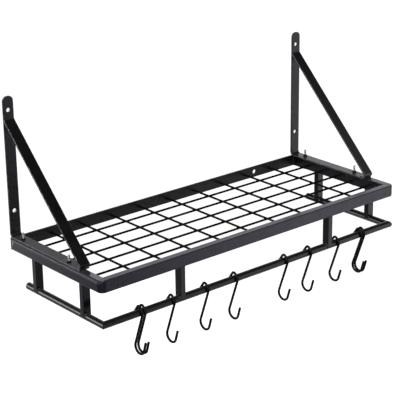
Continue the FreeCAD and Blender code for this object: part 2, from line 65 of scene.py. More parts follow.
rail_low, rail_high = span("front_rail")
rail_bottom, rail_top = rail_low[2], rail_high[2]
rail_middle = (rail_bottom + rail_top) / 2
frame_side = span("back_rail")[1][0]
frame_front = rail_low[1]
corner_inset = (frame_side - rail_high[0]) * math.sqrt(2)
rail_inner_front = rail_high[1]
rail_inner_side = span("right_rail")[0][0]
bar_face = span("back_rail")[0][1]
tube_low, tube_high = span("front_hook_tube")
tube_radius = (tube_high[2] - tube_low[2]) / 2
tube_axis = np.array([0, (tube_low[1] + tube_high[1]) / 2, (tube_low[2] + tube_high[2]) / 2])
tube_side = tube_high[0] - tube_radius
strap_low, strap_high = span("right_strap")
brace_low, brace_high = span("right_brace")
strap_middle = (strap_low[0] + strap_high[0]) / 2
bolt_line = (frame_side + rail_inner_side) / 2
cross_low, cross_high = span("cross_wires")
long_low, long_high = span("long_wires")
wire_radius = (cross_high[2] - cross_low[2]) / 2
cross_level = cross_high[2] - wire_radius
long_level = long_high[2] - wire_radius

# Numbers that the nodes' boxes don't give: the brace foot's level length and the counts of wires

FOOT_REACH = 12.9
CROSS_WIRES = 9
LONG_WIRES = 5
cross_places = np.linspace(cross_low[0] + wire_radius, cross_high[0] - wire_radius, CROSS_WIRES)
long_places = np.linspace(long_low[1] + wire_radius, long_high[1] - wire_radius, LONG_WIRES)

# Direction of the rail above each post

POST_RUNS = {
    "front_post_left": X_AXIS,
    "front_post_right": X_AXIS,
    "left_post_back": Y_AXIS,
    "left_post_front": Y_AXIS,
    "right_post_back": Y_AXIS,
    "right_post_front": Y_AXIS,
}


# Shared shader effects

def new_node(tree, kind, **settings):
    made = tree.nodes.new(kind)
    for name, value in settings.items():
        setattr(made, name, value)
    return made


def noise(tree, place, cells, detail=2.0, rough=0.5):
    """Noise of so many cells to the metre."""
    made = new_node(tree, "ShaderNodeTexNoise", noise_dimensions="3D")
    made.inputs["Scale"].default_value = cells
    made.inputs["Detail"].default_value = detail
    made.inputs["Roughness"].default_value = rough
    tree.links.new(place, made.inputs["Vector"])
    return made.outputs["Fac"]


def calculate(tree, operation, first, second=None, clamp=False):
    made = new_node(tree, "ShaderNodeMath", operation=operation, use_clamp=clamp)
    for socket, value in zip(made.inputs, (first, second)):
        if isinstance(value, bpy.types.NodeSocket):
            tree.links.new(value, socket)
        elif value is not None:
            socket.default_value = value
    return made.outputs[0]


def spread_over(tree, value, low, high, start=0.0, end=1.0):
    """The value's stretch from low to high, carried to start and end."""
    made = new_node(tree, "ShaderNodeMapRange", clamp=True)
    tree.links.new(value, made.inputs["Value"])
    for socket, number in zip(("From Min", "From Max"), (low, high)):
        made.inputs[socket].default_value = number
    for socket, number in zip(("To Min", "To Max"), (start, end)):
        if isinstance(number, bpy.types.NodeSocket):
            tree.links.new(number, made.inputs[socket])
        else:
            made.inputs[socket].default_value = number
    return made.outputs["Result"]


def blend_colours(tree, share, first, second):
    made = new_node(tree, "ShaderNodeMix", data_type="RGBA")
    tree.links.new(share, made.inputs["Factor"])
    for socket, value in ((made.inputs[6], first), (made.inputs[7], second)):
        if isinstance(value, bpy.types.NodeSocket):
            tree.links.new(value, socket)
        else:
            socket.default_value = (*value, 1.0)
    return made.outputs[2]


def new_group(name, takes, gives):
    """A shader group with its two ends; takes and gives are pairs of socket name and kind."""
    tree = bpy.data.node_groups.new(name, "ShaderNodeTree")
    for label, kind in takes:
        tree.interface.new_socket(label, in_out="INPUT", socket_type=f"NodeSocket{kind}")
    for label, kind in gives:
        tree.interface.new_socket(label, in_out="OUTPUT", socket_type=f"NodeSocket{kind}")
    start = tree.nodes.new("NodeGroupInput")
    end = tree.nodes.new("NodeGroupOutput")
    return tree, start.outputs, end.inputs


def make_orange_peel():
    """Height of baked powder: rounded waves of the given cell count and a finer grain on them."""
    tree, takes, gives = new_group(
        "orange_peel", [("Place", "Vector"), ("Cells", "Float")], [("Height", "Float")]
    )
    waves = noise(tree, takes["Place"], cells=1.0, detail=1.0, rough=0.4)
    tree.links.new(takes["Cells"], waves.node.inputs["Scale"])
    grain = noise(tree, takes["Place"], cells=2600.0, detail=1.0)
    both = calculate(tree, "MULTIPLY_ADD", grain, 0.25)
    tree.links.new(waves, both.node.inputs[2])
    tree.links.new(both, gives["Height"])
    return tree


def make_coat_tone():
    """Colour and roughness of a sprayed coat: slow drifts, pale grains and patches of sheen."""
    tree, takes, gives = new_group(
        "coat_tone",
        [("Place", "Vector"), ("Deep", "Color"), ("Pale", "Color"), ("Satin", "Float"), ("Matt", "Float")],
        [("Colour", "Color"), ("Roughness", "Float")],
    )
    drift = noise(tree, takes["Place"], cells=16.0, detail=3.0, rough=0.6)
    grain = noise(tree, takes["Place"], cells=950.0, detail=1.0)
    share = calculate(tree, "MULTIPLY_ADD", spread_over(tree, grain, 0.5, 0.78), 0.35)
    slow = calculate(tree, "MULTIPLY", spread_over(tree, drift, 0.32, 0.68), 0.65)
    tree.links.new(slow, share.node.inputs[2])
    tree.links.new(blend_colours(tree, share, takes["Deep"], takes["Pale"]), gives["Colour"])
    patches = noise(tree, takes["Place"], cells=55.0, detail=3.0, rough=0.55)
    rough = spread_over(tree, patches, 0.3, 0.7, takes["Satin"], takes["Matt"])
    tree.links.new(rough, gives["Roughness"])
    return tree


def make_soft_edges():
    """Edges as the coat leaves them: a rounded normal of the given width, and a mask of the rim, which the
    finishes pale for rubbed wear and for a painted edge highlight.
    """
    tree, takes, gives = new_group(
        "soft_edges", [("Place", "Vector"), ("Width", "Float")], [("Normal", "Vector"), ("Rim", "Float")]
    )
    rounded = new_node(tree, "ShaderNodeBevel", samples=16)
    tree.links.new(takes["Width"], rounded.inputs["Radius"])
    surface = tree.nodes.new("ShaderNodeNewGeometry")
    likeness = new_node(tree, "ShaderNodeVectorMath", operation="DOT_PRODUCT")
    tree.links.new(rounded.outputs["Normal"], likeness.inputs[0])
    tree.links.new(surface.outputs["Normal"], likeness.inputs[1])
    rim = spread_over(tree, likeness.outputs["Value"], 0.995, 0.85)
    rubbing = noise(tree, takes["Place"], cells=140.0, detail=4.0, rough=0.65)
    patchy = spread_over(tree, rubbing, 0.42, 0.66)
    tree.links.new(calculate(tree, "MULTIPLY", rim, patchy), gives["Rim"])
    tree.links.new(rounded.outputs["Normal"], gives["Normal"])
    return tree


def make_settled_dust():
    """Dust on what faces up: the upward share of the normal, broken up by noise."""
    tree, takes, gives = new_group("settled_dust", [("Place", "Vector")], [("Mask", "Float")])
    surface = tree.nodes.new("ShaderNodeNewGeometry")
    parts = tree.nodes.new("ShaderNodeSeparateXYZ")
    tree.links.new(surface.outputs["Normal"], parts.inputs[0])
    upward = spread_over(tree, parts.outputs["Z"], 0.85, 1.0)
    clumps = noise(tree, takes["Place"], cells=85.0, detail=5.0, rough=0.7)
    lying = calculate(tree, "MULTIPLY", upward, spread_over(tree, clumps, 0.3, 0.75))
    tree.links.new(lying, gives["Mask"])
    return tree


orange_peel = make_orange_peel()
coat_tone = make_coat_tone()
soft_edges = make_soft_edges()
settled_dust = make_settled_dust()


# Finishes, with the relief's height and the seam's sizes in millimetres

RELIEF_HEIGHT = 0.2
SEAM_DROP = 1.1
SEAM_REACH = 2.0
SEAM_FADE = 1.0
DUST_COLOUR = (0.16, 0.16, 0.165)


def new_material(name):
    made = bpy.data.materials.new(name)
    made.use_nodes = True
    made.node_tree.nodes.clear()
    return made, made.node_tree


def use_group(tree, group, place, **values):
    made = new_node(tree, "ShaderNodeGroup", node_tree=group)
    tree.links.new(place, made.inputs["Place"])
    for name, value in values.items():
        made.inputs[name].default_value = (*value, 1.0) if isinstance(value, tuple) else value
    return made.outputs


def finish_shader(tree, colour, rough, height, normal, bump, **constants):
    """Principled shader with this colour, roughness and bump; constants are set on its own sockets."""
    shader = tree.nodes.new("ShaderNodeBsdfPrincipled")
    for name, value in constants.items():
        shader.inputs[name.replace("_", " ")].default_value = value
    tree.links.new(colour, shader.inputs["Base Color"])
    tree.links.new(rough, shader.inputs["Roughness"])
    relief = tree.nodes.new("ShaderNodeBump")
    relief.inputs["Strength"].default_value = bump
    relief.inputs["Distance"].default_value = RELIEF_HEIGHT * MM
    tree.links.new(height, relief.inputs["Height"])
    tree.links.new(normal, relief.inputs["Normal"])
    tree.links.new(relief.outputs["Normal"], shader.inputs["Normal"])
    out = tree.nodes.new("ShaderNodeOutputMaterial")
    tree.links.new(shader.outputs["BSDF"], out.inputs["Surface"])


def make_joint_band():
    """Where a strap lies on a rail: upright faces of the rail's upper half, and a seam along the joint."""
    tree, takes, gives = new_group(
        "joint_band", [("Place", "Vector")], [("Upper", "Float"), ("Seam", "Float")]
    )
    parts = tree.nodes.new("ShaderNodeSeparateXYZ")
    tree.links.new(takes["Place"], parts.inputs[0])
    facing = tree.nodes.new("ShaderNodeSeparateXYZ")
    tree.links.new(tree.nodes.new("ShaderNodeNewGeometry").outputs["Normal"], facing.inputs[0])
    upright = spread_over(tree, calculate(tree, "ABSOLUTE", facing.outputs["Z"]), 0.9, 0.6)
    upper = spread_over(tree, parts.outputs["Z"], (rail_middle - 4.0) * MM, (rail_middle + 2.0) * MM)
    seam_level = (rail_top - SEAM_DROP) * MM
    away = calculate(tree, "ABSOLUTE", calculate(tree, "SUBTRACT", parts.outputs["Z"], seam_level))
    seam = spread_over(tree, away, SEAM_REACH * MM, (SEAM_REACH - SEAM_FADE) * MM)
    tree.links.new(calculate(tree, "MULTIPLY", upper, upright), gives["Upper"])
    tree.links.new(calculate(tree, "MULTIPLY", seam, upright), gives["Seam"])
    return tree


joint_band = make_joint_band()


def powder_coat(
    name, deep, pale, satin, matt, gloss,
    tint=(1.0, 1.0, 1.0), edge=0.5, rim_wear_and_highlight=0.1, dust=0.3, slant=0.7, crown=None, bump=0.3, foot=None,
):
    """Black powder coat: drifting tone, orange peel, edges paled partly by rubbing and partly by a painted
    highlight, and a little dust on top.
    The sheen breaks up at grazing angles beyond the slant, where the peel hides its own hollows.
    A crown is the width of a softer edge beside a strap, which also has a dull seam.
    A foot is a paler colour that a brace takes towards its lower end: painted light on the brace's lower
    part."""
    made, tree = new_material(name)
    place = tree.nodes.new("ShaderNodeTexCoord").outputs["Object"]
    tone = use_group(tree, coat_tone, place, Deep=deep, Pale=pale, Satin=satin, Matt=matt)
    rims = use_group(tree, soft_edges, place, Width=edge * MM)
    lying = use_group(tree, settled_dust, place)
    peel = use_group(tree, orange_peel, place, Cells=620.0)
    # Rims paled partly as rubbed wear and partly as a painted highlight along the edges.
    colour = blend_colours(tree, rims["Rim"], tone["Colour"], (rim_wear_and_highlight, rim_wear_and_highlight, rim_wear_and_highlight * 1.05))
    # Painted light: the foot colour pales the brace towards its lower end.
    if foot:
        parts = tree.nodes.new("ShaderNodeSeparateXYZ")
        tree.links.new(place, parts.inputs[0])
        lower = spread_over(tree, parts.outputs["Z"], brace_high[2] * MM, brace_low[2] * MM)
        colour = blend_colours(tree, lower, colour, foot)
    dusty = calculate(tree, "MULTIPLY", lying["Mask"], dust)
    colour = blend_colours(tree, dusty, colour, DUST_COLOUR)
    rough = calculate(tree, "MULTIPLY_ADD", dusty, 0.3, clamp=True)
    tree.links.new(tone["Roughness"], rough.node.inputs[2])
    grazing = tree.nodes.new("ShaderNodeLayerWeight").outputs["Facing"]
    broken = spread_over(tree, grazing, slant, 1.0, 0.0, 0.5)
    rough = calculate(tree, "ADD", rough, broken, clamp=True)
    if crown:
        joint = use_group(tree, joint_band, place)
        width = spread_over(tree, joint["Upper"], 0.0, 1.0, edge * MM, crown * MM)
        tree.links.new(width, rims["Rim"].node.inputs["Width"])
        dull = calculate(tree, "MULTIPLY", joint["Seam"], 0.85)
        rough = calculate(tree, "ADD", rough, dull, clamp=True)
    finish_shader(
        tree, colour, rough, peel["Height"], rims["Normal"], bump,
        Specular_IOR_Level=gloss, Specular_Tint=(*tint, 1.0),
    )
    return made


def zinc_plate(name, deep, pale, satin, matt, metal):
    """Plated fastener: metal that drifts between two tones, with a fine grain and bright crests."""
    made, tree = new_material(name)
    place = tree.nodes.new("ShaderNodeTexCoord").outputs["Object"]
    tone = use_group(tree, coat_tone, place, Deep=deep, Pale=pale, Satin=satin, Matt=matt)
    rims = use_group(tree, soft_edges, place, Width=0.15 * MM)
    peel = use_group(tree, orange_peel, place, Cells=1500.0)
    colour = blend_colours(tree, rims["Rim"], tone["Colour"], tuple(0.1 + channel for channel in pale))
    finish_shader(tree, colour, tone["Roughness"], peel["Height"], rims["Normal"], 0.1, Metallic=metal)
    return made


def plug_plastic(name):
    """Moulded plastic: fine grain, uneven sheen and paler rubbed rims."""
    made, tree = new_material(name)
    place = tree.nodes.new("ShaderNodeTexCoord").outputs["Object"]
    tone = use_group(
        tree, coat_tone, place, Deep=(0.007, 0.007, 0.008), Pale=(0.02, 0.02, 0.021), Satin=0.5, Matt=0.68
    )
    rims = use_group(tree, soft_edges, place, Width=0.3 * MM)
    peel = use_group(tree, orange_peel, place, Cells=2200.0)
    colour = blend_colours(tree, rims["Rim"], tone["Colour"], (0.05, 0.05, 0.05))
    finish_shader(
        tree, colour, tone["Roughness"], peel["Height"], rims["Normal"], 0.25, Specular_IOR_Level=0.4
    )
    return made


BLACK = (0.0015, 0.0015, 0.0018)
GREY_BLACK = (0.004, 0.004, 0.0045)
DULL_BLACK = (0.001, 0.001, 0.0012)
RAIL_DEEP = (0.002, 0.0017, 0.003)
RAIL_PALE = (0.005, 0.0043, 0.007)
RAIL_TINT = (0.86, 0.81, 1.0)
POST_TINT = (0.93, 0.9, 1.0)
STRAP_TINT = (0.94, 0.92, 1.0)
frame_coat = powder_coat(
    "frame_coat_satin", RAIL_DEEP, RAIL_PALE,
    satin=0.22, matt=0.3, gloss=0.85, tint=RAIL_TINT, edge=3.0, rim_wear_and_highlight=0.02,
)
crowned_coat = powder_coat(
    "frame_coat_crowned", RAIL_DEEP, RAIL_PALE,
    satin=0.09, matt=0.13, gloss=0.85, tint=RAIL_TINT, edge=2.0, rim_wear_and_highlight=0.02, crown=9.0, bump=0.1,
)
# The right rail: a darker, less glossy copy of the frame coat, painted shade for the rail's inner face.
shaded_coat = powder_coat(
    "frame_coat_shaded", BLACK, GREY_BLACK, satin=0.18, matt=0.26, gloss=0.55, tint=POST_TINT
)
post_coat = powder_coat("post_coat", BLACK, GREY_BLACK, satin=0.11, matt=0.17, gloss=0.55, tint=POST_TINT)
bar_coat = powder_coat("back_bar_coat", BLACK, (0.006, 0.006, 0.0065), satin=0.34, matt=0.44, gloss=0.4)
tube_coat = powder_coat("hook_tube_coat", BLACK, GREY_BLACK, satin=0.2, matt=0.26, gloss=0.6)
strap_coat = powder_coat(
    "bracket_coat", BLACK, GREY_BLACK,
    satin=0.24, matt=0.32, gloss=0.58, tint=STRAP_TINT, edge=1.8, rim_wear_and_highlight=0.1,
)
# The left strap: wider, paler rims, partly rubbed wear and partly a painted highlight along its edges, and
# a duller sheen at grazing angles.
dull_strap_coat = powder_coat(
    "bracket_coat_scuffed_and_highlit", BLACK, GREY_BLACK,
    satin=0.24, matt=0.32, gloss=0.8, tint=STRAP_TINT, edge=2.2, rim_wear_and_highlight=0.16, slant=0.36, crown=2.2,
)
# The left brace: rims paled strongly, partly rubbed wear and partly a painted highlight along its edges.
brace_coat = powder_coat(
    "brace_coat", DULL_BLACK, (0.0025, 0.0025, 0.003), satin=0.3, matt=0.4, gloss=0.35, edge=1.2, rim_wear_and_highlight=0.5
)
# The right brace: paler towards its lower end, painted light standing in for the light on its lower part.
painted_foot_brace_coat = powder_coat(
    "brace_coat_painted_foot_light", DULL_BLACK, (0.003, 0.003, 0.0032),
    satin=0.24, matt=0.32, gloss=0.58, tint=STRAP_TINT, edge=1.8, rim_wear_and_highlight=0.1, foot=(0.021, 0.021, 0.0215),
)
wire_coat = powder_coat(
    "shelf_wire_coat", DULL_BLACK, (0.003, 0.003, 0.0035), satin=0.48, matt=0.6, gloss=0.08, dust=0.05
)
hook_coat = powder_coat(
    "hook_coat", DULL_BLACK, (0.003, 0.003, 0.0035), satin=0.4, matt=0.52, gloss=0.12, dust=0.03
)
bolt_zinc = zinc_plate("bolt_zinc", (0.4, 0.4, 0.42), (0.62, 0.61, 0.58), satin=0.14, matt=0.26, metal=1.0)
nut_zinc = zinc_plate(
    "nut_zinc", (0.006, 0.006, 0.008), (0.02, 0.019, 0.018), satin=0.3, matt=0.45, metal=0.5
)
end_plug_plastic = plug_plastic("end_plug_plastic")
NODE_COATS = {
    "front_rail": frame_coat,
    "left_rail": crowned_coat,
    "right_rail": shaded_coat,
    "back_rail": bar_coat,
    "cross_wires": wire_coat,
    "long_wires": wire_coat,
    "left_strap": dull_strap_coat,
    "right_strap": strap_coat,
    "left_brace": brace_coat,
    "right_brace": painted_foot_brace_coat,
    "tube_end_plugs": end_plug_plastic,
    "bracket_bolts": bolt_zinc,
    "bracket_nuts": nut_zinc,
}


def coat_of(name):
    if "_post" in name:
        return post_coat
    if name.endswith("_hook_tube"):
        return tube_coat
    if name.startswith("hook_"):
        return hook_coat
    return NODE_COATS[name]


for node_name, node_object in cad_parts.items():
    if not node_object.material_slots:
        node_object.data.materials.append(coat_of(node_name))
    for material_slot in node_object.material_slots:
        material_slot.material = coat_of(node_name)


# Surfaces from grids of points, with the sharp edge in degrees and the bead's sizes in millimetres

SHARP_ANGLE = 40
BEAD_COLUMNS = 12
RIPPLE_PITCH = 1.5
DRIFT_LENGTH = 2.3
DRIFT_SHARE = 0.08


def unit(vectors):
    return vectors / np.linalg.norm(vectors, axis=-1, keepdims=True)


def quads_of(rows, columns, loop_rows):
    """Corner numbers between neighbouring grid points. Columns always close; rows close where they loop."""
    row, column = np.meshgrid(np.arange(rows if loop_rows else rows - 1), np.arange(columns), indexing="ij")
    next_row = (row + 1) % rows
    next_column = (column + 1) % columns
    corners = [(row, column), (row, next_column), (next_row, next_column), (next_row, column)]
    return np.stack([r * columns + c for r, c in corners], axis=-1).reshape(-1, 4)


def make_piece(name, grids, material, body="rack"):
    """One mesh from grids of points in millimetres, each with its rows looped or not.
    A grid may hold several equal shapes along a first axis.
    Doubled points are merged and faces turned out."""
    points, quads, count = [], [], 0
    for grid, loop_rows in grids:
        shapes = grid.reshape(-1, *grid.shape[-3:])
        size = shapes.shape[1] * shapes.shape[2]
        corners = quads_of(shapes.shape[1], shapes.shape[2], loop_rows)
        starts = count + size * np.arange(len(shapes))
        points.append(shapes.reshape(-1, 3))
        quads.append((starts[:, None, None] + corners).reshape(-1, 4))
        count += size * len(shapes)
    mesh = bpy.data.meshes.new(name)
    mesh.from_pydata(np.concatenate(points) * MM, [], np.concatenate(quads).tolist())
    shell = bmesh.new()
    shell.from_mesh(mesh)
    bmesh.ops.remove_doubles(shell, verts=shell.verts, dist=1e-7)
    bmesh.ops.recalc_face_normals(shell, faces=shell.faces)
    shell.to_mesh(mesh)
    shell.free()
    mesh.shade_smooth()
    mesh.set_sharp_from_angle(angle=math.radians(SHARP_ANGLE))
    mesh.materials.append(material)
    made = bpy.data.objects.new(name, mesh)
    bpy.context.scene.collection.objects.link(made)
    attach(made, body)
    return made


def even_path(corners, step, closed):
    """A path of straight runs through the corners, with its points the same step apart."""
    if closed:
        corners = np.vstack([corners, corners[:1]])
    along = np.concatenate([[0.0], np.cumsum(np.linalg.norm(np.diff(corners, axis=0), axis=1))])
    count = max(6, int(round(along[-1] / step)))
    wanted = np.linspace(0.0, along[-1], count, endpoint=not closed)
    return np.stack([np.interp(wanted, along, corners[:, axis]) for axis in range(3)], axis=-1)


def bead(corners, hub, radius, closed=False, step=0.3, ripple=0.1):
    """Weld bead: a circle carried along a path, turned so that one side faces away from the hub.
    Its radius rises and falls by the ripple once in each pitch and drifts slowly between.
    At open ends it runs out as a quarter circle."""
    path = even_path(np.asarray(corners, float), step, closed)
    count = len(path)
    if closed:
        run = np.roll(path, -1, axis=0) - np.roll(path, 1, axis=0)
    else:
        run = np.gradient(path, axis=0)
    run = unit(run)
    away = path - np.asarray(hub, float)
    away = unit(away - np.sum(away * run, axis=1, keepdims=True) * run)
    across = np.cross(run, away)
    length = step * np.arange(count)
    waves = ripple * np.cos(length * math.tau / RIPPLE_PITCH)
    drift = DRIFT_SHARE * np.sin(length / DRIFT_LENGTH + path[:, 0])
    size = radius * (1.0 + waves + drift)
    if not closed:
        to_end = np.minimum(length, length[-1] - length) / radius
        size = size * np.sqrt(np.clip(1.0 - np.clip(1.0 - to_end, 0.0, 1.0) ** 2, 0.0, 1.0))
    turn = np.arange(BEAD_COLUMNS) * math.tau / BEAD_COLUMNS
    ring = np.cos(turn)[None, :, None] * away[:, None] + np.sin(turn)[None, :, None] * across[:, None]
    return path[:, None] + size[:, None, None] * ring, closed


def turned(radius, height, columns):
    """Points round the Z axis from a profile.
    Radius and height hold a row for each profile point, the same all round or not."""
    angle = np.arange(columns) * math.tau / columns
    radius = np.broadcast_to(radius, (len(radius), columns))
    height = np.broadcast_to(height, radius.shape)
    return np.stack([radius * np.cos(angle), radius * np.sin(angle), height], axis=-1)


# Welds of the frame and its posts

def rounded_loop(middle, along, across, half_along, half_across, corner):
    """Rounded rectangle: a quarter circle about each inner corner, joined by straight runs."""
    angle = (np.arange(32) + 0.5) * math.tau / 32
    first = np.sign(np.cos(angle)) * (half_along - corner) + corner * np.cos(angle)
    second = np.sign(np.sin(angle)) * (half_across - corner) + corner * np.sin(angle)
    return middle + np.outer(first, along) + np.outer(second, across)


def post_top_weld(node, along):
    """Ring of weld where a post meets the rail.
    It lies beside the post along the rail, and in the rail's round edges across it."""
    low, high = span(node)
    across = np.cross(Z_AXIS, along)
    middle = (low + high) / 2
    middle[2] = rail_bottom + 0.1
    half = (high - low) / 2
    half_along = abs(half @ along)
    half_across = abs(half @ across) - 1.0
    loop = rounded_loop(middle, along, across, half_along, half_across, 1.2)
    return bead(loop, middle, 1.25, closed=True)


def post_foot_weld(node, along):
    """Ring of weld at a post's foot.
    It runs half round the tube on each side and is joined along the post's lower edges."""
    low, high = span(node)
    across = np.cross(Z_AXIS, along)
    middle = (low + high) / 2
    middle[2] = tube_axis[2]
    half_along = abs((high - low) / 2 @ along)
    angle = np.linspace(0.0, math.pi, 25)
    reach = tube_radius + 0.15
    arc = np.outer(np.cos(angle) * reach, across) + np.outer(np.sin(angle) * reach, Z_AXIS)
    loop = np.vstack([middle + along * half_along + arc, (middle - along * half_along + arc)[::-1]])
    return bead(loop, middle - Z_AXIS * 2.0, 1.1, closed=True)


def make_post_welds():
    tops = [post_top_weld(node, along) for node, along in POST_RUNS.items()]
    feet = [post_foot_weld(node, along) for node, along in POST_RUNS.items()]
    make_piece("post_welds", tops + feet, post_coat)


def make_frame_welds():
    """Beads of the frame: ground seams on the mitres, full beads inside, below and at the back bar."""
    beads = []
    bar_beads = []
    for sign in SIDES:
        outer = np.array([sign * frame_side, frame_front])
        inner = np.array([sign * rail_inner_side, rail_inner_front])
        run = (inner - outer) / np.linalg.norm(inner - outer)
        start, end = outer + run * (corner_inset + 1.8), inner - run * 0.8
        high, low = rail_top - 0.62, rail_bottom + 0.3
        below = [*outer, rail_bottom - 60]
        beads.append(bead([[*start, high], [*end, high]], below, 0.7, ripple=0.04))
        beads.append(bead([[*start, low], [*end, low]], [*outer, rail_top], 0.9))
        hub = [*(inner + run * 50), rail_top]
        beads.append(bead([[*inner, rail_top - 2.5], [*inner, rail_bottom + 2.5]], hub, 1.2))
        edge = outer + run * (corner_inset + 1.1)
        beads.append(bead([[*edge, rail_top - 2.0], [*edge, rail_bottom + 2.0]], hub, 1.3, ripple=0.04))
        joint = [sign * rail_inner_side, bar_face]
        hub = [0.0, frame_front, 0.0]
        bar_beads.append(bead([[*joint, rail_top - 2.0], [*joint, rail_bottom + 2.0]], hub, 1.3))
        far = sign * (frame_side - 2.0)
        floor_run = [[joint[0], bar_face, rail_bottom + 0.2], [far, bar_face, rail_bottom + 0.2]]
        bar_beads.append(bead(floor_run, hub, 1.1))
    make_piece("frame_welds", beads, frame_coat)
    make_piece("back_bar_welds", bar_beads, bar_coat)


def make_tube_welds():
    """Ground ring on each mitre of the hook tube: the tube's circle drawn out along the mitre plane."""
    rings = []
    angle = np.arange(48) * math.tau / 48
    reach = tube_radius - 0.32
    for sign in SIDES:
        middle = np.array([sign * tube_side, tube_axis[1], tube_axis[2]])
        mitre = np.array([-sign, 1.0, 0.0])
        loop = middle + np.outer(np.cos(angle) * reach, mitre) + np.outer(np.sin(angle) * reach, Z_AXIS)
        rings.append(bead(loop, middle, 0.62, closed=True, ripple=0.05))
    make_piece("hook_tube_welds", rings, tube_coat)


def make_bracket_welds():
    """Beads across the brackets: over and under the brace's top, behind its foot and at the base's end."""
    beads = []
    top = brace_high[2]
    face = brace_high[1]
    base = brace_low[2]
    foot_end = brace_low[1] + FOOT_REACH
    base_end = strap_low[1]
    half = (strap_high[0] - strap_low[0]) / 2 - 1.2
    runs = [(face, top, 1.2), (face, top - 3.6, 1.3), (foot_end, base, 1.1), (base_end, base, 1.1)]
    for sign in SIDES:
        for y, z, radius in runs:
            ends = [[sign * strap_middle - half, y, z], [sign * strap_middle + half, y, z]]
            beads.append(bead(ends, [0.0, y + 40.0, z - 40.0], radius))
    make_piece("bracket_welds", beads, strap_coat)


# Welds of the shelf wires

def make_wire_end_welds():
    """Collar at each wire end: its radius falls from the rail as the square of the way along the wire.
    Three low lumps run round it, turned a little further on each collar."""
    ends = [([x, rail_inner_front, cross_level], Y_AXIS) for x in cross_places]
    ends += [([x, bar_face, cross_level], -Y_AXIS) for x in cross_places]
    ends += [([-rail_inner_side, y, long_level], X_AXIS) for y in long_places]
    ends += [([rail_inner_side, y, long_level], -X_AXIS) for y in long_places]
    foot = np.array([middle for middle, _ in ends])[:, None, None]
    along = np.array([direction for _, direction in ends])[:, None, None]
    aside = np.cross(along, Z_AXIS)
    flare = 1.1
    length = 3.2
    columns = 20
    way = np.linspace(0.0, 1.0, 8)
    angle = np.arange(columns) * math.tau / columns
    lumps = 1.0 + 0.1 * np.cos(3 * angle + np.arange(len(ends))[:, None, None] * 1.7)
    size = wire_radius * 0.97 + flare * (1.0 - way[:, None]) ** 2 * lumps
    size = np.concatenate([np.zeros_like(size[:, :1]), size, np.zeros_like(size[:, :1])], axis=1)
    reach = np.concatenate([[-0.4], way * length - 0.2, [length - 0.1]])[:, None]
    ring = np.cos(angle)[:, None] * aside + np.sin(angle)[:, None] * Z_AXIS
    grid = foot + along * reach[..., None] + size[..., None] * ring
    make_piece("wire_end_welds", [(grid, False)], wire_coat)


def make_crossing_welds():
    """Pressed weld at each crossing: a flat ellipsoid between the two wires."""
    x, y = np.meshgrid(cross_places, long_places, indexing="ij")
    middle = np.stack([x, y, np.full_like(x, (cross_level + long_level) / 2)], axis=-1).reshape(-1, 1, 1, 3)
    half_width = 2.0
    half_height = 1.2
    columns = 16
    polar = np.linspace(0.0, math.pi, 8)[:, None]
    angle = np.arange(columns)[None] * math.tau / columns
    grid = np.stack([
        half_width * np.sin(polar) * np.cos(angle),
        half_width * np.sin(polar) * np.sin(angle),
        half_height * np.cos(polar) * np.ones_like(angle),
    ], axis=-1)
    make_piece("wire_crossing_welds", [(middle + grid, False)], wire_coat)


# Fasteners and plugs

bolt_low, bolt_high = span("bracket_bolts")
nut_low, nut_high = span("bracket_nuts")
head_radius = bolt_high[0] - bolt_line
bolt_places = np.array([
    [sign * bolt_line, y, 0.0]
    for sign in SIDES
    for y in (bolt_low[1] + head_radius, bolt_high[1] - head_radius)
])


def bolt_head():
    """Pan head: flat face, quarter-round rim and side. A cross is pressed into the face.
    Its depth falls off from the arms' middle lines and from the head's axis."""
    face_rows = 26
    columns = 72
    rim_radius = 1.2
    arm_half, arm_reach, arm_depth = 0.75, 2.1, 1.3
    rim = np.linspace(-math.pi / 2, 0.0, 8)
    flat = np.linspace(0.0, head_radius - rim_radius, face_rows)
    round_edge = head_radius - rim_radius + rim_radius * np.cos(rim)
    radius = np.concatenate([flat, round_edge, [head_radius, 1.5, 0.0]])
    low = bolt_low[2]
    round_level = low + rim_radius + rim_radius * np.sin(rim)
    height = np.concatenate([np.full(face_rows, low), round_level, [rail_bottom] * 3])
    angle = np.arange(columns) * math.tau / columns
    off_arm = radius[:, None] * np.minimum(np.abs(np.sin(angle)), np.abs(np.cos(angle)))
    beside_arm = np.clip((arm_half - off_arm) / 0.3, 0.0, 1.0)
    along_arm = np.clip((arm_reach - radius[:, None]) / 0.5, 0.0, 1.0)
    face = np.arange(len(radius))[:, None] < face_rows
    return turned(radius[:, None], height[:, None] + arm_depth * beside_arm * along_arm * face, columns)


def bolt_thread():
    """Threaded end: radius is the core plus a triangle wave of height over pitch less turn.
    The crest climbs one pitch each turn, and the tip is chamfered."""
    pitch = 0.7
    core, crest = 1.58, 0.42
    columns = 36
    angle = np.arange(columns) / columns
    height = np.arange(nut_low[2] - 1.0, bolt_high[2], 0.07)[:, None]
    wave = np.abs(((height / pitch - angle) % 1.0) * 2.0 - 1.0)
    radius = core + crest * np.clip(wave * 1.3 - 0.1, 0.0, 1.0)
    radius = np.minimum(radius, 1.35 + (bolt_high[2] - height))
    start, end = np.zeros((1, columns)), np.zeros((1, columns))
    levels = np.concatenate([[[rail_bottom - 0.5]], [[rail_bottom - 0.5]], height, [[bolt_high[2]]]])
    return turned(np.concatenate([start, start + 1.95, radius, end]), levels, columns)


